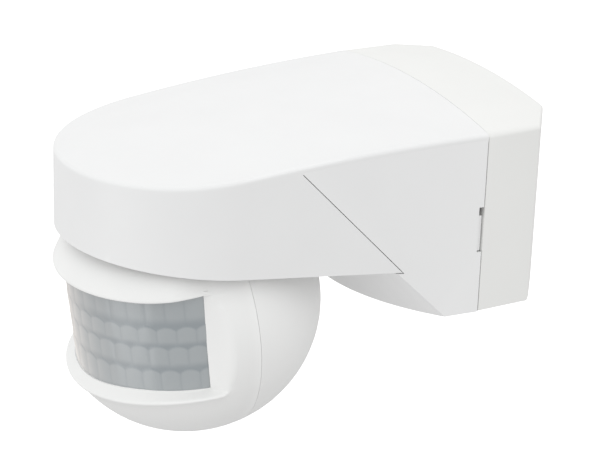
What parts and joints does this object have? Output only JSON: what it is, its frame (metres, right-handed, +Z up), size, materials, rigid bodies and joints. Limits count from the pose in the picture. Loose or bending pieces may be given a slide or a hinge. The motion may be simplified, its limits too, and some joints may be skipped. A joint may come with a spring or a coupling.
{
  "type": "motion sensor",
  "caption": "Wall motion sensor: a swivelling ball head with a faceted lens under a rounded arm, a lift-off cover over setting dials, and a plug-on wall base.",
  "frame": {"origin": "middle of the two wall slots, on the wall face", "axes": "+Z up, +Y into the wall, -Y out of the wall towards the lens, +X to the right seen from the front"},
  "size_m": [0.071, 0.114, 0.0808],
  "materials": {
    "base_plastic": "satin",
    "arm_plastic": "satin",
    "cover_plastic": "satin",
    "head_plastic": "satin",
    "lens_plastic": "translucent satin, faceted",
    "seal_rubber": "matte",
    "terminal_plastic": "satin",
    "brass": "bright",
    "steel": "plated",
    "board_laminate": "solder-masked",
    "relay_case": "gloss",
    "capacitor_case": "gloss",
    "capacitor_sleeve": "gloss",
    "fuse_case": "gloss",
    "trimmer_case": "satin",
    "switch_case": "satin",
    "dial_plastic": "satin",
    "button_plastic": "satin",
    "joint_plastic": "satin",
    "lead_sheath": "matte",
    "orange_plastic": "gloss",
    "sensor_glass": "gloss",
    "led_plastic": "gloss"
  },
  "bodies": {
    "base": {"wall_base": "base_plastic", "base_gasket": "seal_rubber", "cable_grommet": "seal_rubber", "entry_blank": "base_plastic", "terminal_block": "terminal_plastic", "terminal_screws": "steel", "socket_contacts": "brass", "loop_terminal": "orange_plastic"},
    "arm": {"arm_housing": "arm_plastic", "seam_seal": "seal_rubber", "snap_latches": "arm_plastic", "plug_block": "terminal_plastic", "plug_blades": "brass", "main_board": "board_laminate", "board_screws": "steel", "relay": "relay_case", "film_capacitor": "capacitor_case", "bulk_capacitor": "capacitor_sleeve", "fuse": "fuse_case", "dial_trimmers": "trimmer_case", "switch_body": "switch_case", "neck_tube": "joint_plastic", "wave_spring": "steel", "neck_nut": "joint_plastic", "ball_seal": "seal_rubber", "neck_lead": "lead_sheath"},
    "cover": {"top_cover": "cover_plastic", "cover_seal": "seal_rubber"},
    "time_knob": {"time_dial": "dial_plastic"},
    "lux_knob": {"lux_dial": "dial_plastic"},
    "range_knob": {"range_dial": "dial_plastic"},
    "button": {"test_button": "button_plastic"},
    "swivel": {"clamp_dish": "joint_plastic"},
    "lean": {"slot_slider": "steel"},
    "head": {"head_front_shell": "head_plastic", "head_rear_shell": "head_plastic", "lens": "lens_plastic", "lens_frame": "head_plastic", "sensor_board": "board_laminate", "sensor_can": "steel", "sensor_window": "sensor_glass", "status_led": "led_plastic", "head_screws": "steel", "head_lead": "lead_sheath"}
  },
  "joints": [
    {"name": "arm_release", "type": "slide", "parent": "base", "child": "arm", "axis": [0, -1, 0], "range_m": [0, 0.03]},
    {"name": "cover_release", "type": "slide", "parent": "arm", "child": "cover", "axis": [0, -0.866, 0.5], "range_m": [0, 0.03]},
    {"name": "head_pan", "type": "hinge", "parent": "arm", "child": "swivel", "pos_m": [0, -0.082, -0.024], "axis": [0, 0, 1], "range_deg": [-90, 90]},
    {"name": "head_lean", "type": "hinge", "parent": "swivel", "child": "lean", "pos_m": [0, -0.082, -0.024], "axis": [0, 1, 0], "range_deg": [-8, 8]},
    {"name": "head_tilt", "type": "hinge", "parent": "lean", "child": "head", "pos_m": [0, -0.082, -0.024], "axis": [1, 0, 0], "range_deg": [-5, 35]},
    {"name": "time_turn", "type": "hinge", "parent": "arm", "child": "time_knob", "pos_m": [-0.013, -0.048, 0.012], "axis": [0, 0, 1], "range_deg": [-135, 135]},
    {"name": "lux_turn", "type": "hinge", "parent": "arm", "child": "lux_knob", "pos_m": [0, -0.048, 0.012], "axis": [0, 0, 1], "range_deg": [-135, 135]},
    {"name": "range_turn", "type": "hinge", "parent": "arm", "child": "range_knob", "pos_m": [0.013, -0.048, 0.012], "axis": [0, 0, 1], "range_deg": [-135, 135]},
    {"name": "button_press", "type": "slide", "parent": "arm", "child": "button", "axis": [0, 0, -1], "range_m": [0, 0.0005], "stiffness_N_per_m": 400}
  ]
}
